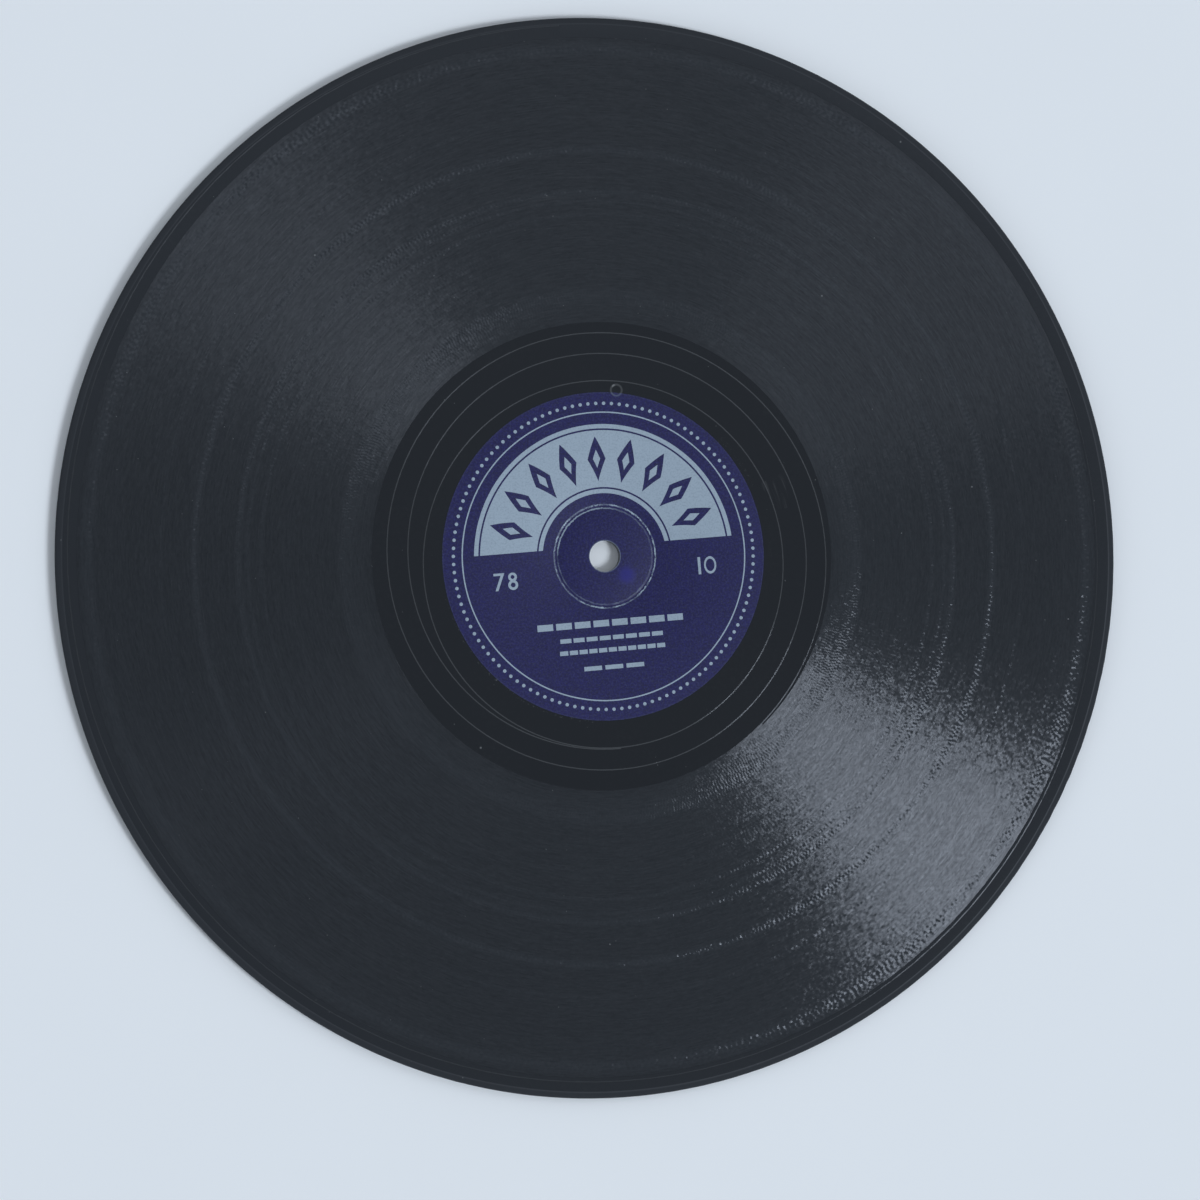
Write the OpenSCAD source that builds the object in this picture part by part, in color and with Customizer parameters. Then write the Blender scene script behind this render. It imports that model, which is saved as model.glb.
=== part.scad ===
// Ten-inch shellac record: a solid pressed disc with a groove on each face,
// and a paper label pressed into each face.
// The disc lies on its rear face. The spindle axis is Z, and Z = 0 is the rear face.

/* [Disc] */
// Outside diameter of the disc
disc_d = 250; // [200:1:305]
// Thickness between the two flat faces
disc_t = 2.2; // [1.8:0.1:3.2]
// Diameter of the spindle hole through the disc and both labels
spindle_d = 7.24; // [6.8:0.02:8.2]
// Width of the sloped band beside the edge
crown_w = 1.6; // [1:0.1:1.7]
// How far the sloped band falls towards the edge
crown_drop = 0.15; // [0.05:0.05:0.2]
// Radius that rounds the two corners of the edge
edge_r = 0.6; // [0.3:0.05:0.65]

/* [Labels] */
// Diameter of a paper label
label_d = 76; // [64:1:90]
// Thickness of the label paper
label_t = 0.12; // [0.08:0.01:0.2]
// How far the label's face lies below the face of the disc
label_sink = 0.02; // [0.01:0.01:0.06]
// Clearance between a label and its seat, at its edge and under it
label_clear = 0.01; // [0.005:0.005:0.03]
// Diameter of the ring pressed into the label, at its middle line
ring_d = 23.1; // [16:0.1:40]
// Width of the pressed ring
ring_w = 0.8; // [0.5:0.1:1.6]
// Depth of the pressed ring
ring_depth = 0.12; // [0.06:0.02:0.24]

/* [Recorded band] */
// Distance between neighbouring turns
pitch = 0.275; // [0.24:0.005:0.4]
// One turn in this many is cut into the solid, to keep it light
turn_step = 8; // [1:1:12]
// Width of the recorded groove at the face
groove_w = 0.16; // [0.1:0.01:0.18]
// Angle between the two walls of every groove
groove_angle = 90; // [80:1:100]
// Smooth margin between the edge and the first turn
margin_w = 4.8; // [4.2:0.1:7]

/* [Lead-in, lead-out and locked groove] */
// Width of these grooves at the face
lead_w = 0.24; // [0.12:0.02:0.32]
// Distance from the edge to the start of the lead-in groove
lead_in_inset = 1.8; // [1.8:0.1:2.6]
// Distance from the edge to the lead-in groove after half a turn
lead_in_half_inset = 3.9; // [3:0.1:3.9]
// Turns of the lead-out groove
lead_out_turns = 2; // [1:1:3]
// Width of the smooth ring that the lead-out groove crosses
lead_out_w = 9.7; // [6:0.1:14]
// How far the locked groove stands off the spindle axis
lock_offset = 1.83; // [0.5:0.01:2.5]
// Smallest distance between the label and the locked groove
lock_gap = 2.67; // [1.5:0.01:4]
// Direction in which the locked groove stands off, from X
lock_angle = 275; // [0:5:355]

/* [Press mark] */
// Diameter of the round press mark on the front face
mark_d = 3; // [2:0.1:4]
// Depth of the press mark
mark_depth = 0.1; // [0.04:0.01:0.11]
// Distance from the label's edge out to the middle of the press mark
mark_gap = 0.6; // [0:0.1:1]
// Direction of the press mark, from X
mark_angle = 86; // [0:1:359]

/* [Hidden] */
$fn = 180;

// How far a cutting shape stands clear of the face that it cuts
over = 0.02;

disc_r = disc_d / 2;
bore_r = spindle_d / 2;
label_r = label_d / 2;
label_z = disc_t - label_sink;
seat_r = label_r + label_clear;
seat_z = label_z - label_t - label_clear;

// The rounded corner of the edge runs on from the sloped band without a step
crown_angle = atan(crown_drop / crown_w);
corner_x = disc_r - edge_r;
corner_z = disc_t - (crown_w - edge_r) * tan(crown_angle) - edge_r / cos(crown_angle);

// Distances from the axis at which the groove passes from one part to the next.
// The lead-out groove runs into the locked one half a groove's width outside it.
lock_r = label_r + lock_gap + lock_offset;
lead_out_end = lock_r + lock_offset + lead_w / 2;
band_r = disc_r - margin_w;
band_turns = turn_step * floor((band_r - lead_out_end - lead_out_w) / (turn_step * pitch));
band_end = band_r - band_turns * pitch;

// The lead grooves cross the line through the locked groove's centre at these stops,
// half a turn apart, and an arc joins each stop to the next
lead_in_stops = [disc_r - lead_in_inset, disc_r - lead_in_half_inset, band_r];
lead_out_step = (band_end - lead_out_end) / (2 * lead_out_turns);
lead_out_stops = [for (i = [0 : 2 * lead_out_turns]) band_end - i * lead_out_step];

// Radius of the ball that presses the mark
mark_ball_r = (mark_d * mark_d / 4 + mark_depth * mark_depth) / (2 * mark_depth);

function groove_depth(width) = width / 2 / tan(groove_angle / 2);

// Points of a section line on the front face, turned into the same line on the rear face
function on_rear(line) = [for (i = [len(line) - 1 : -1 : 0]) [line[i][0], disc_t - line[i][1]]];

// The line of a label or its seat at some height, from the hole to its edge, with the dip
// of the pressed ring
function label_line(z, out_r) = [
    [bore_r, z],
    [(ring_d - ring_w) / 2, z],
    [ring_d / 2, z - ring_depth],
    [(ring_d + ring_w) / 2, z],
    [out_r, z]
];

// The line across the recorded band, one V for each turn that is cut, from the inside out
function band_line() = [
    for (i = [band_turns : -turn_step : 0]) let (r = band_r - i * pitch) each [
        [r - groove_w / 2, disc_t],
        [r, disc_t - groove_depth(groove_w)],
        [r + groove_w / 2, disc_t]
    ]
];

// Moves a shape made for the front face over to the rear face
module turned_over() {
    translate([0, 0, disc_t]) rotate([180, 0, 0]) children();
}

// What rounds the front corner of the edge, to be cut away. It starts at right angles to the
// sloped band and ends level.
module corner_waste() {
    reach = 2 * edge_r;
    translate([corner_x, corner_z]) difference() {
        polygon([
            [0, 0],
            reach * [sin(crown_angle), cos(crown_angle)],
            [reach, reach],
            [reach, 0]
        ]);
        circle(edge_r);
    }
}

// Half section of the disc: label seats, recorded band, margins, sloped bands and edge
module disc_section() {
    front_line = concat(
        label_line(seat_z, seat_r),
        [[seat_r, disc_t]],
        band_line(),
        [[disc_r - crown_w, disc_t], [disc_r, disc_t - crown_drop]]
    );
    difference() {
        polygon(concat(front_line, on_rear(front_line)));
        corner_waste();
        translate([0, disc_t]) mirror([0, 1]) corner_waste();
    }
}

// Section of a lead groove at some distance from the axis, standing clear of the face
module lead_section(r) {
    depth = groove_depth(lead_w);
    mouth = (depth + over) * tan(groove_angle / 2);
    polygon([[r - mouth, disc_t + over], [r, disc_t - depth], [r + mouth, disc_t + over]]);
}

// Half a turn from one stop to the next, about the point midway between the two
module half_turn(from_r, to_r, start_angle) {
    rotate([0, 0, start_angle]) translate([(from_r - to_r) / 2, 0, 0])
        rotate_extrude(angle = 180) lead_section((from_r + to_r) / 2);
}

// A spiral of half turns through its stops, running inwards anticlockwise
module lead_groove(stops, start_angle) {
    for (i = [0 : len(stops) - 2]) half_turn(stops[i], stops[i + 1], start_angle + 180 * i);
}

// The closed groove round the label, off the spindle axis so that it moves the arm
module locked_groove() {
    rotate([0, 0, lock_angle]) translate([lock_offset, 0, 0]) rotate_extrude() lead_section(lock_r);
}

// The grooves that cross the smooth parts of one face
module face_cuts() {
    lead_groove(lead_in_stops, lock_angle + 180);
    lead_groove(lead_out_stops, lock_angle);
    locked_groove();
}

// The shallow round mark that the press leaves across the edge of the front label
module press_mark() {
    rotate([0, 0, mark_angle]) translate([label_r + mark_gap, 0, disc_t - mark_depth + mark_ball_r])
        sphere(mark_ball_r);
}

// A paper label in its seat in the front face
module label_sheet() {
    front_line = label_line(label_z, label_r);
    rotate_extrude() polygon(concat(
        label_line(label_z - label_t, label_r),
        [for (i = [len(front_line) - 1 : -1 : 0]) front_line[i]]
    ));
}

module shellac_disc() {
    color([0.16, 0.18, 0.2]) difference() {
        rotate_extrude() disc_section();
        face_cuts();
        turned_over() face_cuts();
        press_mark();
    }
}

module front_label() {
    color([0.18, 0.19, 0.33]) difference() {
        label_sheet();
        press_mark();
    }
}

module rear_label() {
    color([0.18, 0.19, 0.33]) turned_over() label_sheet();
}

shellac_disc();
front_label();
rear_label();
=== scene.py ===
"""Ten-inch shellac record with a paper label on each face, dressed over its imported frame."""

import math

import bmesh
import bpy
import numpy as np
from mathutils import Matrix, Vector


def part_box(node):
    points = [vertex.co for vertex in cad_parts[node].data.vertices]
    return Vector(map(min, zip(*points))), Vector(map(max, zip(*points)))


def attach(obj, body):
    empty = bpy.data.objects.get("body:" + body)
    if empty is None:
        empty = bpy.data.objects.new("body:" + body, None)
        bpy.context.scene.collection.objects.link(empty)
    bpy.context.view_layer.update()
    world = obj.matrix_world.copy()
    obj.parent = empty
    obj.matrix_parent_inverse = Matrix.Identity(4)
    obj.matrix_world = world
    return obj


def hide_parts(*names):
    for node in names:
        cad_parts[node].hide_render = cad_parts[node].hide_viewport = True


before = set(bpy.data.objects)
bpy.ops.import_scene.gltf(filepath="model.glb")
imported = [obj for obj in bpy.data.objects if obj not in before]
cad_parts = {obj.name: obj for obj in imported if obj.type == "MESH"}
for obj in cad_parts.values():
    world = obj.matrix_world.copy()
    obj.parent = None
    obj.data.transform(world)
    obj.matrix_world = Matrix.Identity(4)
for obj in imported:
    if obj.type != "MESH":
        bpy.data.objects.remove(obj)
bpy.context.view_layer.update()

bl_info = {
    "name": "Shellac record",
    "version": (1, 0, 0),
    "blender": (4, 5, 0),
    "location": "View3D > Sidebar > Record",
    "description": "Builds a ten-inch shellac record with its grooves and paper labels",
    "category": "Add Mesh",
}

MM = 0.001
TURN = 2 * math.pi

# The disc and the front label as they stand in the frame
DISC_LOW, DISC_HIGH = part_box("shellac_disc")
LABEL_LOW, LABEL_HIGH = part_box("front_label")
DISC_RADIUS = min(DISC_HIGH[0], DISC_HIGH[1], -DISC_LOW[0], -DISC_LOW[1])
LABEL_RADIUS = min(LABEL_HIGH[0], LABEL_HIGH[1], -LABEL_LOW[0], -LABEL_LOW[1])


def length(name, description, default):
    """A size in metres that a user may change."""
    return bpy.props.FloatProperty(
        name=name, description=description, default=default, min=0.0, precision=5, unit="LENGTH"
    )


def direction(name, description, degrees):
    """A direction round the spindle axis, from the X axis."""
    return bpy.props.FloatProperty(
        name=name, description=description, default=math.radians(degrees), subtype="ANGLE"
    )


def colour(name, description, default):
    """A colour that a user may change."""
    return bpy.props.FloatVectorProperty(
        name=name, description=description, default=default, size=3, min=0.0, max=1.0, subtype="COLOR"
    )


class DiscSizes(bpy.types.PropertyGroup):
    """Sizes of the pressed disc and its grooves."""

    radius: length("Radius", "From the spindle axis to the edge", DISC_RADIUS)
    thickness: length("Thickness", "Between the two flat faces", DISC_HIGH[2] - DISC_LOW[2])
    bore_radius: length("Hole radius", "Radius of the spindle hole", 3.62 * MM)
    crown_width: length("Sloped band", "Width of the sloped band beside the edge", 1.6 * MM)
    crown_drop: length("Slope", "How far the sloped band falls towards the edge", 0.15 * MM)
    edge_radius: length("Edge rounding", "Radius that rounds the corners of the edge", 0.6 * MM)
    edge_wear: length("Edge wear", "Depth of the small nicks along the edge", 0.16 * MM)
    margin: length("Margin", "Smooth margin between the edge and the first turn", 4.8 * MM)
    pitch: length("Pitch", "Distance between neighbouring turns", 0.275 * MM)
    groove_width: length("Groove width", "Width of the recorded groove at the face", 0.16 * MM)
    lead_width: length("Lead groove width", "Width of the other grooves at the face", 0.24 * MM)
    lead_in: length("Lead-in start", "From the edge to the start of the lead-in groove", 1.8 * MM)
    lead_in_half: length("Lead-in half-way", "From the edge to that groove half a turn on", 3.9 * MM)
    lead_out_width: length("Lead-out ring", "Smooth ring that the lead-out groove crosses", 9.7 * MM)
    lock_radius: length("Locked groove", "Radius of the closed groove", 42.5 * MM)
    lock_offset: length("Locked groove offset", "How far it stands off the axis", 1.83 * MM)
    lock_angle: direction("Locked groove direction", "Where the closed groove stands off", 275)
    mark_radius: length("Press mark", "Radius of the round press mark", 1.5 * MM)
    mark_depth: length("Press mark depth", "Depth of the press mark", 0.1 * MM)
    mark_place: length("Press mark place", "From the axis to the press mark", 38.6 * MM)
    mark_angle: direction("Press mark direction", "Where the press mark lies", 86)


class LabelSizes(bpy.types.PropertyGroup):
    """Sizes of a paper label."""

    radius: length("Radius", "Radius of the label", LABEL_RADIUS)
    thickness: length("Paper thickness", "Thickness of the label paper", 0.12 * MM)
    sink: length("Sink", "How far the label lies below the face of the disc", 0.02 * MM)
    clearance: length("Clearance", "Between the label and its seat", 0.01 * MM)
    ring_radius: length("Ring radius", "Radius of the pressed ring", 11.55 * MM)
    ring_width: length("Ring width", "Width of the pressed ring", 0.8 * MM)
    ring_depth: length("Ring depth", "Depth of the pressed ring", 0.12 * MM)
    print_turn: direction("Print turn", "How far the print is turned on the disc", 5)


class RecordColours(bpy.types.PropertyGroup):
    """Colours of the record and of the stage."""

    shellac: colour("Shellac", "Colour of the pressed compound", (0.0132, 0.0154, 0.0188))
    grooved: colour("Grooved shellac", "Colour of the grooved compound", (0.0214, 0.0250, 0.0302))
    # The dust colour also paints the highlight at the press mark's edge and the sheen of the lead
    # grooves
    dust: colour("Dust", "Colour of dust and scuffs", (0.17, 0.18, 0.19))
    paper: colour("Label", "Colour of the printed ground of a label", (0.0068, 0.0066, 0.0720))
    ink: colour("Print", "Colour of the pale print", (0.31, 0.39, 0.48))
    floor: colour("Floor", "Colour of the floor", (0.85, 0.885, 0.93))


class Groove:
    """The path of the groove on one face, by turns from the start of the lead-in."""

    LEAD_OUT_TURNS = 2

    def __init__(self, disc):
        self.disc = disc
        self.start_angle = disc.lock_angle + math.pi
        self.band_radius = disc.radius - disc.margin
        lock_edge = disc.lock_radius + disc.lock_offset + disc.lead_width / 2
        self.last_radius = lock_edge + disc.lead_width / 2
        self.band_end = lock_edge + disc.lead_out_width
        # The lead-out groove starts opposite the lead-in, so the band ends on a half turn
        self.band_turns = math.floor((self.band_radius - self.band_end) / disc.pitch) - 0.5
        self.turns = 1 + self.band_turns + self.LEAD_OUT_TURNS

    def radius(self, turn):
        """Distance of the groove's middle from the axis."""
        disc = self.disc
        lead_in = [disc.radius - disc.lead_in, disc.radius - disc.lead_in_half, self.band_radius]
        inward = self.last_radius - self.band_end
        steps = 2 * self.LEAD_OUT_TURNS
        lead_out = [self.band_end + inward * step / steps for step in range(steps + 1)]
        band = self.band_radius + (self.band_end - self.band_radius) * (turn - 1) / self.band_turns
        before = self.half_turns(turn, lead_in)
        after = self.half_turns(turn - 1 - self.band_turns, lead_out)
        return np.where(turn < 1, before, np.where(turn > 1 + self.band_turns, after, band))

    @staticmethod
    def half_turns(turn, stops):
        """A line through stops half a turn apart, bent as an arc about a shifted centre."""
        last = len(stops) - 2
        index = np.clip(np.floor(2 * turn).astype(int), 0, last)
        share = (1 - np.cos(math.pi * np.clip(2 * turn - index, 0, 1))) / 2
        stops = np.array(stops)
        return stops[index] + (stops[index + 1] - stops[index]) * share

    def width(self, turn):
        """Width of the groove at the face."""
        recorded = (turn >= 1) & (turn <= 1 + self.band_turns)
        return np.where(recorded, self.disc.groove_width, self.disc.lead_width)

    def locked(self, angle, shift):
        """Distance of the closed groove from the axis in some direction, moved out by shift."""
        disc = self.disc
        turned = angle - disc.lock_angle
        across = disc.lock_offset * math.sin(turned)
        radius = disc.lock_radius + shift
        return disc.lock_offset * math.cos(turned) + math.sqrt(radius * radius - across * across)


# Mesh tools that the operators share

# Points nearer than this are one point, and faces nearer than this in height lie level
TOUCH = 0.001 * MM
LEVEL = 0.01 * MM

# Cuts that divide each face under the press mark
MARK_CUTS = 11


def edit_mesh():
    """The mesh that is open in edit mode."""
    return bmesh.from_edit_mesh(bpy.context.edit_object.data)


def start_fresh():
    """Clears the object selection and lets edit mode select edges, for a new piece."""
    bpy.ops.object.select_all(action="DESELECT")
    bpy.context.scene.tool_settings.mesh_select_mode = (False, True, False)


def angle_of(point):
    """Direction of a point round the spindle axis."""
    return math.atan2(point.y, point.x)


def radius_of(point):
    """Distance of a point from the spindle axis."""
    return math.hypot(point.x, point.y)


def select_edges(test):
    """Selects the edges that pass a test, and nothing else."""
    bpy.ops.mesh.select_all(action="DESELECT")
    mesh = edit_mesh()
    for edge in mesh.edges:
        if test(edge):
            edge.select_set(True)
    bmesh.update_edit_mesh(bpy.context.edit_object.data)


def open_edge(low, high):
    """A test for the open edges whose points lie between two distances from the axis."""
    return lambda edge: edge.is_boundary and all(low < radius_of(v.co) < high for v in edge.verts)


def place_ring(where):
    """Moves each selected point, in its own direction, to the radius and height given."""
    for vertex in edit_mesh().verts:
        if vertex.select:
            angle = angle_of(vertex.co)
            radius, height = where(angle)
            vertex.co = (radius * math.cos(angle), radius * math.sin(angle), height)
    bmesh.update_edit_mesh(bpy.context.edit_object.data)


def extrude_ring(where):
    """Extrudes the selected open edge into a new ring."""
    bpy.ops.mesh.extrude_region()
    place_ring(where)


def at(radius, height):
    """A plain round ring for extrude_ring."""
    return lambda angle: (radius, height)


def merge_points():
    """Selects the whole mesh and joins the points that lie on each other."""
    bpy.ops.mesh.select_all(action="SELECT")
    bpy.ops.mesh.remove_doubles(threshold=TOUCH)


def turn_over(disc):
    """Turns the active piece over, onto the rear face of the disc."""
    middle = (0, 0, disc.thickness / 2)
    bpy.ops.object.mode_set(mode="EDIT")
    bpy.ops.mesh.select_all(action="SELECT")
    bpy.ops.transform.rotate(value=math.pi, orient_axis="X", center_override=middle)
    bpy.ops.object.mode_set(mode="OBJECT")


def mark_middle(disc):
    """The middle of the press mark, seen from above."""
    return Vector((math.cos(disc.mark_angle), math.sin(disc.mark_angle))) * disc.mark_place


def dish(point, disc):
    """How deep the press mark is at a point of the front face."""
    share = (point.xy - mark_middle(disc)).length / disc.mark_radius
    return disc.mark_depth * max(0.0, 1 - share * share)


def press_mark(disc, top):
    """Presses the round mark into the level faces of the active piece that lie under it."""
    middle = mark_middle(disc)
    reach = 1.25 * disc.mark_radius
    bpy.ops.object.mode_set(mode="EDIT")
    bpy.ops.mesh.select_mode(type="FACE")
    bpy.ops.mesh.select_all(action="DESELECT")
    for face in edit_mesh().faces:
        if face.normal.z > 0.9 and abs(face.calc_center_median().z - top) < LEVEL:
            corners = [vertex.co.xy - middle for vertex in face.verts]
            sides = zip(corners, corners[1:] + corners[:1])
            if min(touching(start, end) for start, end in sides) < reach:
                face.select_set(True)
    bmesh.update_edit_mesh(bpy.context.edit_object.data)
    bpy.ops.mesh.subdivide(number_cuts=MARK_CUTS, ngon=True)
    for vertex in edit_mesh().verts:
        if abs(vertex.co.z - top) < TOUCH:
            vertex.co.z -= max(0.0, dish(vertex.co, disc) - (disc.thickness - top))
    bmesh.update_edit_mesh(bpy.context.edit_object.data)
    bpy.ops.mesh.select_mode(type="EDGE")
    bpy.ops.object.mode_set(mode="OBJECT")


def touching(start, end):
    """Distance from the origin to the line between two flat points."""
    along = end - start
    share = max(0.0, min(1.0, -start.dot(along) / max(along.dot(along), 1e-12)))
    return (start + along * share).length


def finish_piece(piece, node, slot, *materials):
    """Gives a finished piece its materials and its place in the frame."""
    for material in materials:
        piece.data.materials.append(material)
    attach(piece, "root")
    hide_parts(node)


# The pressed disc, in two halves that meet in its middle plane

# Points in one turn of the groove, cuts between two of them at the edge, and rings round its corner
COLUMNS = 120
RIM_CUTS = 5
CORNER_RINGS = 5

# Where the edge is most worn and how far that wear spreads, in degrees
WORN_DIRECTION = 337
WORN_SPREAD = 16

# Edges that bend more than this stay crisp
CRISP_ANGLE = math.radians(28)


def edge_nicks(angle, depth):
    """How far the worn edge lies inside the true one in some direction."""
    off = (math.degrees(angle) % 360 - WORN_DIRECTION) / WORN_SPREAD
    worn = 0.16 + 0.84 * math.exp(-off * off)
    waves = math.sin(97 * angle + 2.1 * math.sin(13 * angle)) + 0.6 * math.sin(211 * angle + 0.7)
    return depth * worn * (0.5 + 0.3125 * waves)


def roll_groove(groove, disc):
    """Adds a flat grid and rolls it up into one face with its groove.

    Each turn has three rows: the groove's outer edge, its bottom and its inner edge. The faces
    past the groove's end are left selected.
    """
    rows = 3 * math.ceil(groove.turns)
    bpy.ops.mesh.primitive_grid_add(x_subdivisions=COLUMNS, y_subdivisions=rows - 1, size=1)
    mesh = bpy.context.object.data
    places = np.empty(3 * len(mesh.vertices))
    mesh.vertices.foreach_get("co", places)
    places = places.reshape(-1, 3)
    column = np.rint((places[:, 0] + 0.5) * COLUMNS).astype(int)
    row = np.rint((places[:, 1] + 0.5) * (rows - 1)).astype(int)
    turn = row // 3 + column / COLUMNS
    side = 1 - row % 3
    width = groove.width(turn)
    radius = groove.radius(turn) + side * width / 2
    angle = groove.start_angle + TURN * column / COLUMNS
    height = disc.thickness - np.where(side == 0, width / 2, 0)
    rolled = np.column_stack([radius * np.cos(angle), radius * np.sin(angle), height])
    mesh.vertices.foreach_set("co", rolled.ravel())
    corners = np.empty(4 * len(mesh.polygons), dtype=int)
    mesh.polygons.foreach_get("vertices", corners)
    corners = corners.reshape(-1, 4)
    last_row = 3 * math.floor(groove.turns) - 1
    last_column = round((groove.turns % 1) * COLUMNS)
    past_end = (row[corners].min(axis=1) >= last_row) & (column[corners].min(axis=1) >= last_column)
    mesh.polygons.foreach_set("select", past_end)
    mesh.update()


def make_half(name, disc, label, turned):
    """One half of the disc, with its face up. Where turned, the edge's nicks run the other way."""
    groove = Groove(disc)
    start_fresh()
    roll_groove(groove, disc)
    half = bpy.context.object
    half.name = name
    half.data.name = name
    bpy.context.scene.tool_settings.mesh_select_mode = (False, False, True)
    bpy.ops.object.mode_set(mode="EDIT")
    bpy.ops.mesh.delete(type="FACE")
    bpy.ops.mesh.select_mode(type="EDGE")
    merge_points()
    make_rim(disc, turned)
    make_middle(groove, disc, label)
    close_half(groove, disc)
    bpy.ops.object.mode_set(mode="OBJECT")
    return half


def make_rim(disc, turned):
    """Carries the face outwards over the sloped band and the rounded corner to the middle plane."""
    top = disc.thickness
    outside = open_edge(disc.radius / 2, 2 * disc.radius)
    crown_start = disc.radius - disc.crown_width
    slope = math.atan(disc.crown_drop / disc.crown_width)
    corner_x = disc.radius - disc.edge_radius
    corner_z = top - (disc.crown_width - disc.edge_radius) * math.tan(slope)
    corner_z -= disc.edge_radius / math.cos(slope)
    sense = -1 if turned else 1

    def worn(radius, height, share):
        """A ring for extrude_ring, nicked by a share of the wear."""
        return lambda angle: (radius - share * edge_nicks(sense * angle, disc.edge_wear), height)

    select_edges(outside)
    extrude_ring(at(crown_start, top))
    merge_points()
    select_edges(outside)
    bpy.ops.mesh.subdivide(number_cuts=RIM_CUTS, ngon=True)
    select_edges(outside)
    place_ring(at(crown_start, top))
    for step in range(CORNER_RINGS):
        share = step / (CORNER_RINGS - 1)
        lean = (math.pi / 2 - slope) * (1 - share)
        radius = corner_x + disc.edge_radius * math.cos(lean)
        height = corner_z + disc.edge_radius * math.sin(lean)
        extrude_ring(worn(radius, height, 0.2 + 0.8 * share))
    extrude_ring(worn(disc.radius, top / 2, 1))


def make_middle(groove, disc, label):
    """Carries the face inwards over the closed groove and the label's seat to the spindle hole."""
    top = disc.thickness
    seat_radius = label.radius + label.clearance
    seat = top - label.sink - label.thickness - label.clearance
    half_width = disc.lead_width / 2
    inside = open_edge(0, disc.radius / 2)
    select_edges(inside)
    extrude_ring(lambda angle: (groove.locked(angle, half_width), top))
    merge_points()
    select_edges(inside)
    extrude_ring(lambda angle: (groove.locked(angle, 0), top - half_width))
    extrude_ring(lambda angle: (groove.locked(angle, -half_width), top))
    extrude_ring(at(seat_radius, top))
    extrude_ring(at(seat_radius, seat))
    extrude_ring(at(label.ring_radius + label.ring_width / 2, seat))
    extrude_ring(at(label.ring_radius, seat - label.ring_depth))
    extrude_ring(at(label.ring_radius - label.ring_width / 2, seat))
    extrude_ring(at(disc.bore_radius, seat))
    extrude_ring(at(disc.bore_radius, top / 2))


def close_half(groove, disc):
    """Closes the middle plane, sets which edges stay crisp and which faces are grooved."""
    select_edges(lambda edge: edge.is_boundary)
    bpy.ops.mesh.bridge_edge_loops()
    merge_points()
    bpy.ops.mesh.normals_make_consistent(inside=False)
    bpy.ops.mesh.faces_shade_smooth()

    # Limits of the band clear of its ends, of all grooves, and of a groove's bottom and walls
    band_low = groove.band_end + 1.2 * disc.pitch
    band_high = groove.band_radius - 1.2 * disc.pitch
    lead_low = disc.lock_radius - disc.lock_offset - disc.lead_width
    lead_high = disc.radius - disc.crown_width
    bottom = disc.thickness - 0.4 * disc.groove_width
    wall_top = disc.thickness - 0.2 * disc.lead_width

    def crisp(edge):
        radii = [radius_of(vertex.co) for vertex in edge.verts]
        recorded = min(radii) > band_low and max(radii) < band_high
        led = min(radii) > lead_low and max(radii) < lead_high
        groove_bottom = led and all(vertex.co.z < bottom for vertex in edge.verts)
        return not recorded and not groove_bottom and edge.calc_face_angle(0) > CRISP_ANGLE

    select_edges(crisp)
    bpy.ops.mesh.mark_sharp()
    for face in edit_mesh().faces:
        middle = face.calc_center_median()
        radius = radius_of(middle)
        recorded = groove.band_end < radius < groove.band_radius
        wall = lead_low < radius < lead_high and middle.z < wall_top
        if middle.z > 0.9 * disc.thickness and (recorded or wall):
            face.material_index = 1
    bmesh.update_edit_mesh(bpy.context.edit_object.data)


class RECORD_OT_add_disc(bpy.types.Operator):
    """Add the pressed disc: two halves with the whole groove on each face"""

    bl_idname = "record.add_disc"
    bl_label = "Add disc"
    bl_options = {"REGISTER", "UNDO"}

    def execute(self, context):
        disc = context.scene.record_disc
        label = context.scene.record_label
        colours = context.scene.record_colours
        materials = shellac_material(disc, colours), grooved_material(disc, colours)
        front = make_half("disc_front", disc, label, False)
        press_mark(disc, disc.thickness)
        rear = make_half("disc_rear", disc, label, True)
        turn_over(disc)
        for half in (front, rear):
            finish_piece(half, "shellac_disc", "shellac", *materials)
        return {"FINISHED"}


# The paper labels

# Points round a label, and the angle up to which its faces are shaded as one
LABEL_POINTS = 240
LABEL_SMOOTH = math.radians(40)

# How far a label's edges are softened, and the width of the flat band beside its outer edge
LABEL_SOFT = 0.03 * MM
LABEL_RIM = 2 * MM

# Steps across the pressed ring, in halves of its width
RING_STEPS = (1, 0.6, 0.25, 0, -0.25, -0.6, -1)


def make_label(name, disc, label):
    """A label sheet with its pressed ring and softened edges, face up."""
    start_fresh()
    top = disc.thickness - label.sink
    bottom = top - label.thickness
    half_ring = label.ring_width / 2
    bpy.ops.mesh.primitive_circle_add(vertices=LABEL_POINTS, radius=label.radius, location=(0, 0, 0))
    sheet = bpy.context.object
    sheet.name = name
    sheet.data.name = name
    bpy.ops.object.mode_set(mode="EDIT")
    bpy.ops.mesh.select_all(action="SELECT")
    place_ring(at(label.radius, bottom))
    extrude_ring(at(label.radius, top - LABEL_SOFT))
    extrude_ring(at(label.radius - LABEL_SOFT, top))
    extrude_ring(at(label.radius - LABEL_RIM, top))
    for share in RING_STEPS:
        dip = label.ring_depth * (1 + math.cos(math.pi * share)) / 2
        extrude_ring(at(label.ring_radius + share * half_ring, top - dip))
    extrude_ring(at(disc.bore_radius + LABEL_SOFT, top))
    extrude_ring(at(disc.bore_radius, top - LABEL_SOFT))
    extrude_ring(at(disc.bore_radius, bottom))
    extrude_ring(at(label.ring_radius - half_ring, bottom))
    extrude_ring(at(label.ring_radius, bottom - label.ring_depth))
    extrude_ring(at(label.ring_radius + half_ring, bottom))
    extrude_ring(at(label.radius, bottom))
    merge_points()
    bpy.ops.mesh.normals_make_consistent(inside=False)
    bpy.ops.object.mode_set(mode="OBJECT")
    return sheet


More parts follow.
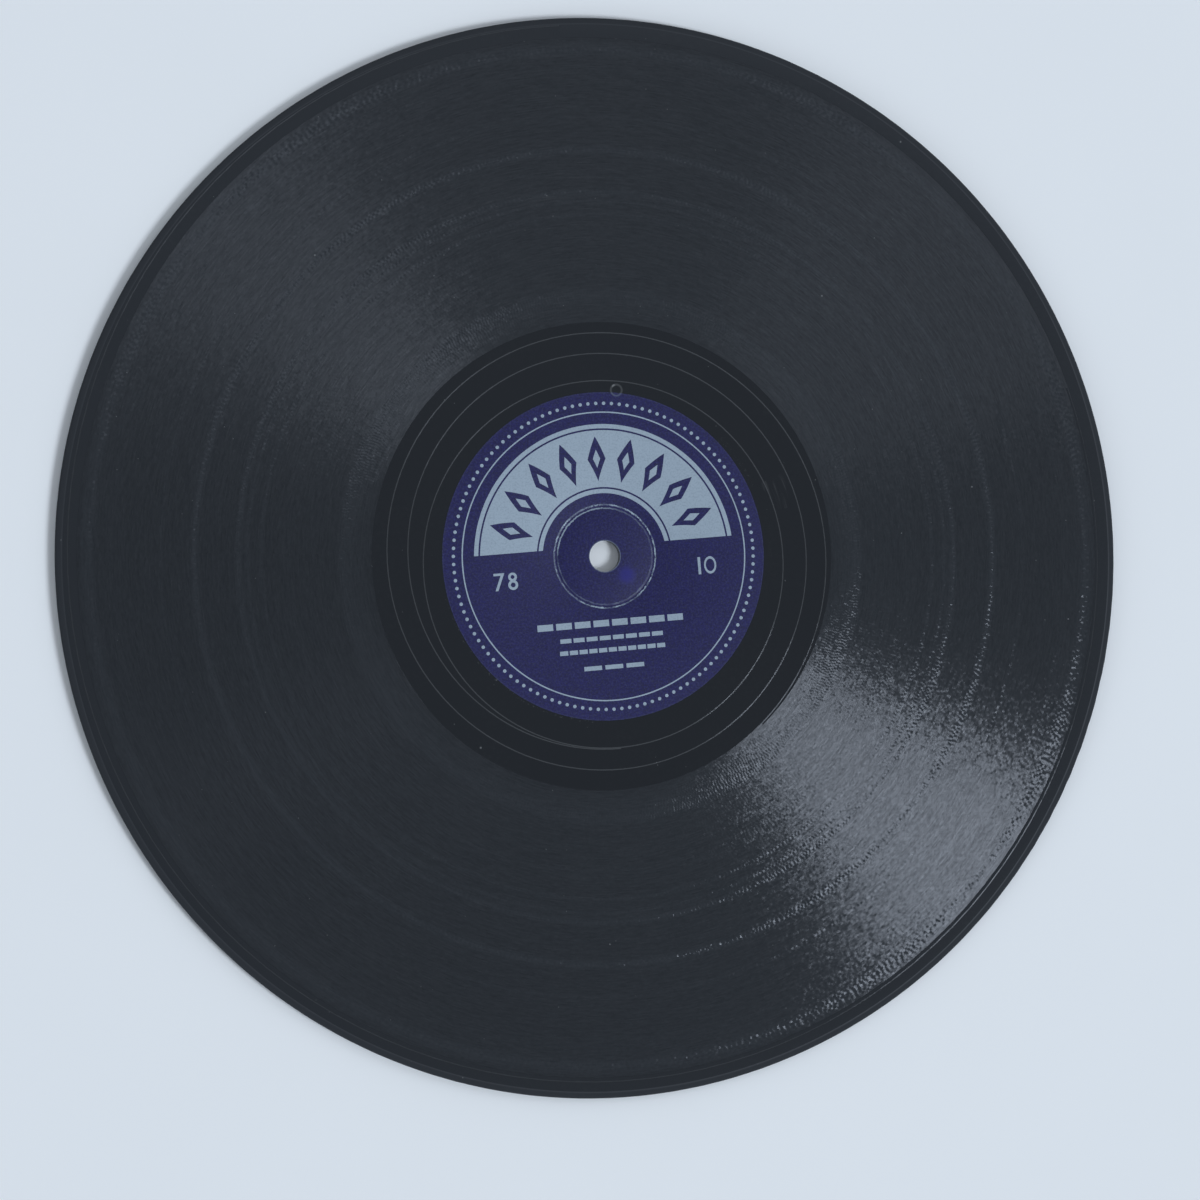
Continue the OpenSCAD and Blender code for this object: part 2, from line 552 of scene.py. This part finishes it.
class RECORD_OT_add_labels(bpy.types.Operator):
    """Add the paper labels of both faces"""

    bl_idname = "record.add_labels"
    bl_label = "Add labels"
    bl_options = {"REGISTER", "UNDO"}

    def execute(self, context):
        disc = context.scene.record_disc
        label = context.scene.record_label
        material = label_material(disc, label, context.scene.record_colours)
        front = make_label("label_front", disc, label)
        press_mark(disc, disc.thickness - label.sink)
        bpy.ops.object.shade_smooth_by_angle(angle=LABEL_SMOOTH)
        rear = make_label("label_rear", disc, label)
        turn_over(disc)
        bpy.ops.object.shade_smooth_by_angle(angle=LABEL_SMOOTH)
        finish_piece(front, "front_label", "label_paper", material)
        finish_piece(rear, "rear_label", "label_paper", material)
        return {"FINISHED"}


# Materials. A field is a number that varies over the surface, and places are in millimetres.


class Field:
    """The output of a shader node, with arithmetic that adds further nodes."""

    def __init__(self, tree, socket):
        self.tree = tree
        self.socket = socket

    def math(self, operation, *others):
        node = self.tree.nodes.new("ShaderNodeMath")
        node.operation = operation
        for socket, value in zip(node.inputs, (self, *others)):
            put(socket, value)
        return Field(self.tree, node.outputs[0])

    def __add__(self, other):
        return self.math("ADD", other)

    def __sub__(self, other):
        return self.math("SUBTRACT", other)

    def __mul__(self, other):
        return self.math("MULTIPLY", other)

    def __truediv__(self, other):
        return self.math("DIVIDE", other)

    def squared(self):
        return self * self

    def above(self, level):
        return self.math("GREATER_THAN", level)

    def below(self, level):
        return self.math("LESS_THAN", level)

    def between(self, low, high):
        return self.above(low) * self.below(high)

    def either(self, other):
        return self.math("MAXIMUM", other)

    def size(self):
        return self.math("ABSOLUTE")

    def past_middle(self):
        """How far the field is past the middle between two whole numbers."""
        return self - self.math("FLOOR") - 0.5

    def rise(self, low, high, start=0.0, end=1.0):
        """Goes smoothly from start to end as the field passes from low to high."""
        node = self.tree.nodes.new("ShaderNodeMapRange")
        node.interpolation_type = "SMOOTHSTEP"
        for name, value in (("From Min", low), ("From Max", high), ("To Min", start), ("To Max", end)):
            node.inputs[name].default_value = value
        put(node.inputs["Value"], self)
        return Field(self.tree, node.outputs["Result"])


def put(socket, value):
    """Links a field to a socket, or sets a plain value on it."""
    if isinstance(value, Field):
        value.tree.links.new(value.socket, socket)
    else:
        socket.default_value = value


def vector(tree, x, y, z):
    """Three fields as one vector."""
    node = tree.nodes.new("ShaderNodeCombineXYZ")
    for socket, value in zip(node.inputs, (x, y, z)):
        put(socket, value)
    return Field(tree, node.outputs[0])


class Place:
    """Where a point of the surface lies on the piece, in millimetres, and its direction."""

    def __init__(self, tree):
        source = tree.nodes.new("ShaderNodeTexCoord")
        apart = tree.nodes.new("ShaderNodeSeparateXYZ")
        tree.links.new(source.outputs["Object"], apart.inputs[0])
        self.x, self.y, self.height = [Field(tree, socket) * 1000 for socket in apart.outputs]
        self.radius = (self.x.squared() + self.y.squared()).math("SQRT")
        self.angle = self.y.math("ARCTAN2", self.x)
        self.degrees = self.angle * (360 / TURN)
        self.flat = vector(tree, self.x, self.y, 0.0)

    def away_from(self, x, y):
        """Distance from a point of the face."""
        return ((self.x - x).squared() + (self.y - y).squared()).math("SQRT")


def new_material(name):
    """A material with its node tree and its surface shader."""
    material = bpy.data.materials.new(name)
    material.use_nodes = True
    tree = material.node_tree
    return material, tree, tree.nodes["Principled BSDF"]


def noise(tree, point, scale, detail=2.0, roughness=0.5):
    """Soft noise from about 0 to 1 over the points of a field."""
    node = tree.nodes.new("ShaderNodeTexNoise")
    put(node.inputs["Vector"], point)
    node.inputs["Scale"].default_value = scale
    node.inputs["Detail"].default_value = detail
    node.inputs["Roughness"].default_value = roughness
    return Field(tree, node.outputs[0])


def specks(tree, point, scale, size, share):
    """Round specks on a share of the cells of a pattern."""
    node = tree.nodes.new("ShaderNodeTexVoronoi")
    put(node.inputs["Vector"], point)
    node.inputs["Scale"].default_value = scale
    apart = tree.nodes.new("ShaderNodeSeparateColor")
    tree.links.new(node.outputs["Color"], apart.inputs[0])
    chosen = Field(tree, apart.outputs[0]).below(share)
    reach = Field(tree, apart.outputs[1]) * size + 0.25 * size
    return Field(tree, node.outputs["Distance"]).below(reach) * chosen


def blend(tree, amount, first, second):
    """A mix of two colours, each plain or a field."""
    node = tree.nodes.new("ShaderNodeMix")
    node.data_type = "RGBA"
    put(node.inputs[0], amount)
    for index, value in ((6, first), (7, second)):
        put(node.inputs[index], value if isinstance(value, Field) else (*value, 1.0))
    return Field(tree, node.outputs[2])


def scaled(colour_value, factor):
    """A colour made lighter or darker."""
    return tuple(min(1.0, channel * factor) for channel in colour_value)


def profile(tree, field, low, high, stops):
    """A line through stops of place and value, both ends held."""
    node = tree.nodes.new("ShaderNodeValToRGB")
    ramp = node.color_ramp
    ramp.interpolation = "LINEAR"
    while len(ramp.elements) < len(stops):
        ramp.elements.new(0.5)
    for element, (place, value) in zip(ramp.elements, stops):
        element.position = (place - low) / (high - low)
        element.color = (value, value, value, 1.0)
    put(node.inputs[0], (field - low) / (high - low))
    return Field(tree, node.outputs[0])


# How loud the recording is, by distance from the axis
LOUDNESS = [
    (54, 0.3), (56, 0.62), (58, 0.7), (60.5, 0.85), (61.6, 0.8), (62.5, 0.5), (69, 0.55), (71, 0.45),
    (73, 0.6), (76, 0.42), (78.3, 0.4), (79.2, 0.85), (80, 0.4), (81.6, 0.45), (82.3, 0.85),
    (83, 0.45), (84.6, 0.95), (85.5, 0.4), (88.8, 0.45), (92.5, 0.35), (94.2, 1.0), (95.4, 0.5),
    (97, 0.3), (101, 0.3), (101.7, 0.75), (102.4, 0.35), (110, 0.35), (112.6, 0.55), (115.5, 0.45),
    (117.3, 0.92), (119.3, 0.65), (120, 0.3),
]

# The distances from the axis between which the loudness is given
LOUDNESS_SPAN = (50, 125)

# Waves of the loud tone in one turn
TONE = 540

# How far the groove's walls lean outwards on the whole, as a slope
GROOVE_LEAN = 0.13

# A distance from the axis that lies outside every turn
FAR_OUT = 130

# How far apart neighbouring strands take their noise, and how far the tone drifts, in radians
STRAND_GAP = 7.3
DRIFT = 16

# The cool tint of the shellac's sheen
SHEEN = (0.845, 0.89, 1.0)


def set_sheen(shader):
    """The gloss that smooth and grooved shellac have in common."""
    shader.inputs["IOR"].default_value = 1.52
    shader.inputs["Specular Tint"].default_value = (*SHEEN, 1.0)


def shellac_material(disc, colours):
    """Pressed shellac on the smooth parts: a dull black sheen with dust, scuffs and a painted highlight
    on the press mark's edge.
    """
    material, tree, shader = new_material("shellac")
    place = Place(tree)
    edge = disc.radius / MM
    fine = noise(tree, place.flat, 2.2, 4.0)
    rough_edge = place.radius.rise(edge - 1.8, edge - 1.2) * 0.8
    put(shader.inputs["Roughness"], fine * 0.08 + rough_edge + 0.12)
    # Dust and scuffs, plus the press mark's pale line with its painted highlight, all towards the dust
    # colour
    dust_and_highlights = soiling(tree, place).either(mark_line_and_highlight(disc, place))
    margin = place.radius.rise(edge - 6, edge - 4.5) * 0.7
    tone = blend(tree, margin, colours.shellac, colours.grooved)
    put(shader.inputs["Base Color"], blend(tree, dust_and_highlights, tone, colours.dust))
    set_sheen(shader)
    return material


class Strands:
    """Noise and waves that run along the groove, in strands of some turns."""

    def __init__(self, tree, place, pitch):
        self.tree = tree
        self.place = place
        self.pitch = pitch

    def noise(self, turns, scale, layer):
        """Noise about 0 that runs along each strand and differs from one strand to the next."""
        width = turns * self.pitch
        angle = self.place.angle
        inward = self.place.radius * -1 + FAR_OUT
        strand = (inward / width - angle / (turns * TURN)).math("FLOOR")
        along = angle * (strand * -width + FAR_OUT)
        point = vector(self.tree, along, strand * STRAND_GAP, layer)
        return noise(self.tree, point, scale, 1.0) - 0.5

    def wave(self, turns):
        """The loud tone, from -1 to 1, which drifts in its own way in each strand."""
        drift = self.noise(turns, 0.15, 50.0) * DRIFT
        return (self.place.angle * TONE + drift).math("SINE")


def grooved_material(disc, colours):
    """Shellac of the grooves, with a sheen across them that wavers with the recording."""
    material, tree, shader = new_material("grooved_shellac")
    place = Place(tree)
    strands = Strands(tree, place, disc.pitch / MM)
    loud = profile(tree, place.radius, *LOUDNESS_SPAN, LOUDNESS)
    beat = loud * loud * loud

    # The walls sway along the groove (tip) and across it (lean)
    out_x = place.x / place.radius
    out_y = place.y / place.radius
    tip = strands.noise(2, 0.85, 0.0) * (beat * 0.35 + 0.13) + strands.wave(2) * beat * 0.11
    lean = strands.noise(1, 0.9, 31.0) * 0.35 + GROOVE_LEAN
    upward = (place.height - disc.thickness / MM / 2).math("SIGN")
    normal = tree.nodes.new("ShaderNodeVectorMath")
    normal.operation = "NORMALIZE"
    put(normal.inputs[0], vector(tree, out_x * lean - out_y * tip, out_y * lean + out_x * tip, upward))
    tree.links.new(normal.outputs[0], shader.inputs["Normal"])
    put(shader.inputs["Tangent"], vector(tree, out_x, out_y, 0.0))
    shader.inputs["Anisotropic"].default_value = 1.0
    put(shader.inputs["Roughness"], place.radius.rise(54, 90, 0.31, 0.285))
    put(shader.inputs["Specular IOR Level"], strands.noise(1, 0.25, 5.0) * 0.5 + 0.5)
    set_sheen(shader)

    # Outside the recorded band the groove is painted pale: partly dust, partly a painted sheen in place
    # of its glint
    groove = Groove(disc)
    inner = groove.band_end / MM
    outer = groove.band_radius / MM
    lead_in = place.radius.rise(outer + 0.1, outer + 0.6) * 0.4
    lead_out = place.radius.rise(inner - 0.25, inner - 0.85)
    dust_and_highlights = soiling(tree, place).either(lead_out.either(lead_in) * 0.3)
    # Tone that differs at random along the strands, painted lighter on the loud rings as a painted
    # sheen
    level = (strands.noise(1, 0.9, 61.0) * 0.6 + beat * 0.35).rise(-0.25, 0.35)
    tone = blend(tree, level, scaled(colours.grooved, 0.8), scaled(colours.grooved, 1.25))
    put(shader.inputs["Base Color"], blend(tree, dust_and_highlights, tone, colours.dust))
    return material


def soiling(tree, place):
    """Dust specks, a thin film and scuffs, from 0 to 1."""
    flat = place.flat
    cloud = noise(tree, flat, 0.045, 3.0)
    dust = specks(tree, flat, 0.42, 0.045, 0.35).either(specks(tree, flat, 0.16, 0.032, 0.5))
    film = noise(tree, flat, 0.9, 5.0, 0.65).rise(0.45, 0.8) * cloud.rise(0.35, 0.7) * 0.035
    return (dust * 0.7).either(film).either(scuff_marks(tree, place))


def scuff_marks(tree, place):
    """Faint worn arcs in the band and beside the label, and dust at the label's edge."""
    radius = place.radius
    degrees = place.degrees
    streaks = noise(tree, vector(tree, place.angle * 6, radius * 1.7, 0.0), 1.0, 4.0, 0.6)
    upper = radius.between(82, 91) * degrees.between(90, 115) * streaks.rise(0.55, 0.75)
    right = radius.between(41, 47) * degrees.between(15, 25) * streaks.rise(0.5, 0.7)
    grains = noise(tree, place.flat, 1.6, 4.0, 0.7).rise(0.56, 0.7)
    patch = radius.between(37.8, 39.6) * degrees.between(25, 45) * grains
    rim = (radius - 38.3).size().below(0.35) * degrees.between(-165, -90) * grains
    return (upper * 0.10).either(right * 0.12).either(patch * 0.35).either(rim * 0.4)


def mark_line_and_highlight(disc, place):
    """A pale line round the press mark, with a painted highlight that makes it brightest on one side.
    """
    mark_x, mark_y = mark_middle(disc) / MM
    outline = 0.86 * disc.mark_radius / MM
    line = (place.away_from(mark_x, mark_y) - outline).size().rise(0.32, 0.1)
    # Painted highlight: the line grows lighter towards one side of the mark
    glint = place.away_from(mark_x - 0.6, mark_y + 0.9).rise(0.7, 0.2)
    return (line * 0.28).either(line * glint)


# Where the blue stain on a label lies, and its colour
STAIN_PLACE = (5.2, -4.3)
STAIN_COLOUR = (0.022, 0.022, 0.17)


def label_material(disc, label, colours):
    """Printed paper: fibrous dark ground, pale print, a worn ring with painted highlights, and a small
    stain.
    """
    material, tree, shader = new_material("label_paper")
    place = Place(tree)
    mottle = noise(tree, place.flat, 0.5, 4.0, 0.6)
    grain = noise(tree, place.flat, 5.0, 3.0, 0.6)
    fibres = noise(tree, place.flat, 2.4, 2.0, 0.7) * 0.75 + mottle * 0.25
    ground = blend(tree, fibres.rise(0.3, 0.7), scaled(colours.paper, 0.55), scaled(colours.paper, 1.5))

    cosine = math.cos(label.print_turn)
    sine = math.sin(label.print_turn)
    across = place.x * cosine + place.y * sine
    up = place.y * cosine - place.x * sine
    ink = label_print(across, up, place.radius) * (fibres.rise(0.3, 0.6) * 0.22 + 0.8)
    printed = blend(tree, ink, ground, colours.ink)

    hole = disc.bore_radius / MM
    edge = label.radius / MM
    rubbed_hole = place.radius.rise(hole + 0.28, hole) * 0.35
    rubbed_edge = place.radius.rise(edge - 0.4, edge - 0.05) * grain.rise(0.4, 0.6) * 0.06
    flecks = noise(tree, place.flat, 2.0, 3.0, 0.8).rise(0.45, 0.65) * 0.045
    # Wear, together with the painted highlights of the pressed ring and of the press mark's edge
    worn = ring_wear_and_highlight(tree, label, place).either(rubbed_hole).either(rubbed_edge + flecks)
    worn = worn.either(mark_line_and_highlight(disc, place) * 0.6)
    aged_and_highlit = blend(tree, worn, printed, scaled(colours.ink, 1.1))
    stain = place.away_from(*STAIN_PLACE).rise(2.9, 0.7) * fibres.rise(0.15, 0.5)
    put(shader.inputs["Base Color"], blend(tree, stain, aged_and_highlit, STAIN_COLOUR))

    put(shader.inputs["Roughness"], stain * -0.2 + grain * 0.2 + 0.45)
    bump = tree.nodes.new("ShaderNodeBump")
    bump.inputs["Strength"].default_value = 0.25
    bump.inputs["Distance"].default_value = 0.03 * MM
    put(bump.inputs["Height"], grain)
    tree.links.new(bump.outputs["Normal"], shader.inputs["Normal"])
    shader.inputs["IOR"].default_value = 1.4
    return material


def ring_wear_and_highlight(tree, label, place):
    """Pale, ragged lines along both edges of the pressed ring: partly rubbed wear, partly painted
    highlight, the inner line brightest on the upper side.
    """
    middle = label.ring_radius / MM
    half_width = label.ring_width / MM / 2
    rubbed = noise(tree, place.flat, 0.45, 3.0).rise(0.4, 0.65)
    ragged = noise(tree, place.flat, 1.4, 3.0, 0.7)
    # The inner line's painted highlight is strongest here, between about 60 and 185 degrees round the
    # axis
    upper = place.degrees.rise(60, 110) * place.degrees.rise(185, 165)
    off = place.radius + (ragged - 0.5) * 0.7 - middle
    outer = (off - half_width).size().rise(0.22, 0.08) * (rubbed * 0.75 + 0.3) * ragged.rise(0.3, 0.5)
    inner = (off + half_width).size().rise(0.22, 0.08) * (upper * 0.6 + rubbed * 0.15 + 0.1)
    return outer.either(inner)


# The arched panel: inner and outer radius, lower edge, and the radii of its two dark lines
PANEL = (14.6, 30.6)
PANEL_BASE = 2.4
PANEL_LINES = (15.6, 16.0), (29.2, 29.6)

# Its lozenges: number, radius of their middles, and the first one's start and their step in degrees
LOZENGES = 9
LOZENGE_RADIUS = 22.6
LOZENGE_START = 10.5
LOZENGE_STEP = 17.667

# Half a lozenge and half of its pale heart, in degrees round the axis and in millimetres outwards
LOZENGE_HALF = (5.4, 5.2)
HEART_HALF = (2.2, 2.1)

# The rim: its plain line, the radius of the bead line, a bead's radius and the degrees between two
RIM_LINE = (33.2, 33.5)
BEAD_LINE = 35.4
BEAD_RADIUS = 0.4
BEAD_STEP = 3

# Rules below the hole: distance below it, thickness, number of dashes and length of one
RULES = [(15.4, 1.5, 8, 4.4), (18.8, 1.0, 8, 3.1), (21.6, 1.0, 11, 2.3), (25.6, 1.0, 3, 5.0)]


def label_print(across, up, radius):
    """The pale print: an arched panel with lozenges, a beaded rim, rules, and plain numbers."""
    degrees = up.math("ARCTAN2", across) * (360 / TURN)
    panel = radius.between(*PANEL) * up.above(PANEL_BASE)
    low_line, high_line = [radius.between(*line) for line in PANEL_LINES]
    step = (degrees - LOZENGE_START) / LOZENGE_STEP
    aside = step.past_middle().size() * LOZENGE_STEP
    off = (radius - LOZENGE_RADIUS).size()
    whole = step.between(0, LOZENGES)
    lozenge, heart = [
        (aside / half_angle + off / half_height).below(1) * whole
        for half_angle, half_height in (LOZENGE_HALF, HEART_HALF)
    ]
    dark = low_line.either(high_line).either(lozenge)
    inked = (panel * (dark * -1 + 1)).either(panel * heart)

    bead = (degrees / BEAD_STEP).past_middle() * (BEAD_LINE * TURN * BEAD_STEP / 360)
    beads = (bead.squared() + (radius - BEAD_LINE).squared()).below(BEAD_RADIUS * BEAD_RADIUS)
    inked = inked.either(beads).either(radius.between(*RIM_LINE))

    for below, thickness, count, dash in RULES:
        half_width = count * dash / 2
        dashes = ((across + half_width) / dash).past_middle().size().below(0.42)
        rule = (up + below).size().below(thickness / 2) * across.size().below(half_width)
        inked = inked.either(rule * dashes)
    return inked.either(numbers(across, up))


def numbers(across, up):
    """The plain numbers 78 and 10 beside the hole."""
    high = up + 4.0
    stem = high.size().below(2.0)
    seven = across + 25.2
    bar = (high - 1.75).size().below(0.28) * seven.size().below(1.2)
    leg = (seven - high * 0.42 - 0.15).size().below(0.34) * stem
    eight = (across + 22.0).squared()
    upper = (eight + (high - 0.98).squared()).between(0.45 * 0.45, 1.02 * 1.02)
    lower = (eight + (high + 0.86).squared()).between(0.55 * 0.55, 1.16 * 1.16)
    one = (across - 22.2).size().below(0.32) * stem
    nought = (across - 24.8).squared() / (0.72 * 0.72)
    oval = (nought + high.squared()).between(1.45 * 1.45, 2.02 * 2.02)
    return bar.either(leg).either(upper).either(lower).either(one).either(oval)


# The stage

# The camera stands above the record, to its left, and looks back across it
CAMERA_PLACE = Vector((-0.13763, -0.02403, 0.65455))
CAMERA_TURN = (math.radians(1.195), math.radians(-11.816), 0.0)

# The camera's lens and the width of its sensor, in millimetres
LENS = 86.6
SENSOR = 36

# The floor's width in metres, and the gap that keeps it clear of the record's rear face
FLOOR_SIZE = 8
FLOOR_GAP = 0.05 * MM

# Name, direction round the axis and height in degrees, distance and size in metres, power in watts
LAMPS = [
    ("low_right_lamp", 332, 42, 20.0, 6.00, 2310.0),
    ("low_left_lamp", 215, 12, 5.50, 1.85, 40.0),
    ("upper_right_lamp", 33, 38, 5.50, 2.54, 22.9),
]
LAMP_COLOUR = (0.89, 0.945, 1.0)

# Brightness of the sky near the horizon and overhead, and of the backdrop
SKY_LOW = 0.64
SKY_HIGH = 0.21
BACKDROP = 0.9


def add_camera(scene):
    """A camera with the photograph's view of the record."""
    data = bpy.data.cameras.new("photo_camera")
    data.lens = LENS
    data.sensor_width = SENSOR
    data.clip_start = 0.01
    camera = bpy.data.objects.new("photo_camera", data)
    scene.collection.objects.link(camera)
    camera.location = CAMERA_PLACE
    camera.rotation_euler = CAMERA_TURN
    scene.camera = camera


def add_floor(colours):
    """A wide pale board just below the record."""
    start_fresh()
    bpy.ops.mesh.primitive_plane_add(size=FLOOR_SIZE, location=(0, 0, 0))
    floor = bpy.context.object
    floor.name = "studio_floor"
    bpy.ops.object.mode_set(mode="EDIT")
    bpy.ops.mesh.select_all(action="SELECT")
    bpy.ops.mesh.subdivide(number_cuts=3)
    bpy.ops.transform.translate(value=(0, 0, -FLOOR_GAP))
    bpy.ops.object.mode_set(mode="OBJECT")
    floor.data.materials.append(floor_material(colours))


def add_lamp(name, around, height, distance, size, power):
    """A soft square lamp that faces the record."""
    data = bpy.data.lights.new(name, "AREA")
    data.size = size
    data.energy = power
    data.color = LAMP_COLOUR
    lamp = bpy.data.objects.new(name, data)
    bpy.context.scene.collection.objects.link(lamp)
    around = math.radians(around)
    height = math.radians(height)
    flat = math.cos(height)
    out = Vector((math.cos(around) * flat, math.sin(around) * flat, math.sin(height)))
    lamp.location = out * distance
    lamp.rotation_euler = (-out).to_track_quat("-Z", "Y").to_euler()
    lamp.visible_camera = False


def floor_material(colours):
    """Smooth pale studio board."""
    material, tree, shader = new_material("studio_board")
    cloud = noise(tree, Place(tree).flat, 0.02, 3.0)
    tone = blend(tree, cloud, scaled(colours.floor, 0.99), scaled(colours.floor, 1.01))
    put(shader.inputs["Base Color"], tone)
    shader.inputs["Roughness"].default_value = 0.85
    shader.inputs["Specular IOR Level"].default_value = 0.1
    return material


def set_world(colours):
    """A dim sky, darker overhead, behind a pale backdrop that only the camera sees."""
    world = bpy.data.worlds.new("studio")
    bpy.context.scene.world = world
    world.use_nodes = True
    tree = world.node_tree
    sky = tree.nodes["Background"]
    sky.inputs["Color"].default_value = (*LAMP_COLOUR, 1.0)
    source = tree.nodes.new("ShaderNodeTexCoord")
    apart = tree.nodes.new("ShaderNodeSeparateXYZ")
    tree.links.new(source.outputs["Generated"], apart.inputs[0])
    height = Field(tree, apart.outputs["Z"])
    ahead = Field(tree, apart.outputs["Y"]).rise(0.0, 0.5) * height.rise(0.5, 0.8) * 0.3
    put(sky.inputs["Strength"], height.rise(0.35, 0.85, SKY_LOW, SKY_HIGH) + ahead)
    backdrop = tree.nodes.new("ShaderNodeBackground")
    lit_floor = [own * light for own, light in zip(colours.floor, LAMP_COLOUR)]
    backdrop.inputs["Color"].default_value = (*lit_floor, 1.0)
    backdrop.inputs["Strength"].default_value = BACKDROP
    path = tree.nodes.new("ShaderNodeLightPath")
    mix = tree.nodes.new("ShaderNodeMixShader")
    tree.links.new(path.outputs["Is Camera Ray"], mix.inputs[0])
    tree.links.new(sky.outputs[0], mix.inputs[1])
    tree.links.new(backdrop.outputs[0], mix.inputs[2])
    tree.links.new(mix.outputs[0], tree.nodes["World Output"].inputs[0])


class RECORD_OT_add_stage(bpy.types.Operator):
    """Add the floor, the lamps, the sky and the camera"""

    bl_idname = "record.add_stage"
    bl_label = "Add stage"
    bl_options = {"REGISTER", "UNDO"}

    def execute(self, context):
        scene = context.scene
        colours = scene.record_colours
        add_floor(colours)
        for lamp in LAMPS:
            add_lamp(*lamp)
        set_world(colours)
        add_camera(scene)
        scene.view_settings.view_transform = "Standard"
        return {"FINISHED"}


class RECORD_PT_panel(bpy.types.Panel):
    """Lists the operators and the sizes and colours that they use"""

    bl_idname = "RECORD_PT_panel"
    bl_label = "Shellac record"
    bl_space_type = "VIEW_3D"
    bl_region_type = "UI"
    bl_category = "Record"

    def draw(self, context):
        layout = self.layout
        for operator in OPERATORS:
            layout.operator(operator.bl_idname)
        for name in SETTINGS:
            settings = getattr(context.scene, name)
            layout.label(text=settings.bl_rna.name)
            for prop in settings.bl_rna.properties:
                if not prop.is_readonly and prop.identifier != "name":
                    layout.prop(settings, prop.identifier)


OPERATORS = (RECORD_OT_add_disc, RECORD_OT_add_labels, RECORD_OT_add_stage)
SETTINGS = {"record_disc": DiscSizes, "record_label": LabelSizes, "record_colours": RecordColours}


def register():
    for group in SETTINGS.values():
        bpy.utils.register_class(group)
    for name, group in SETTINGS.items():
        setattr(bpy.types.Scene, name, bpy.props.PointerProperty(type=group))
    for item in (*OPERATORS, RECORD_PT_panel):
        bpy.utils.register_class(item)


def unregister():
    for item in (RECORD_PT_panel, *reversed(OPERATORS)):
        bpy.utils.unregister_class(item)
    for name, group in SETTINGS.items():
        delattr(bpy.types.Scene, name)
        bpy.utils.unregister_class(group)


def main():
    register()
    bpy.ops.record.add_disc()
    bpy.ops.record.add_labels()
    bpy.ops.record.add_stage()


if __name__ == "__main__":
    main()
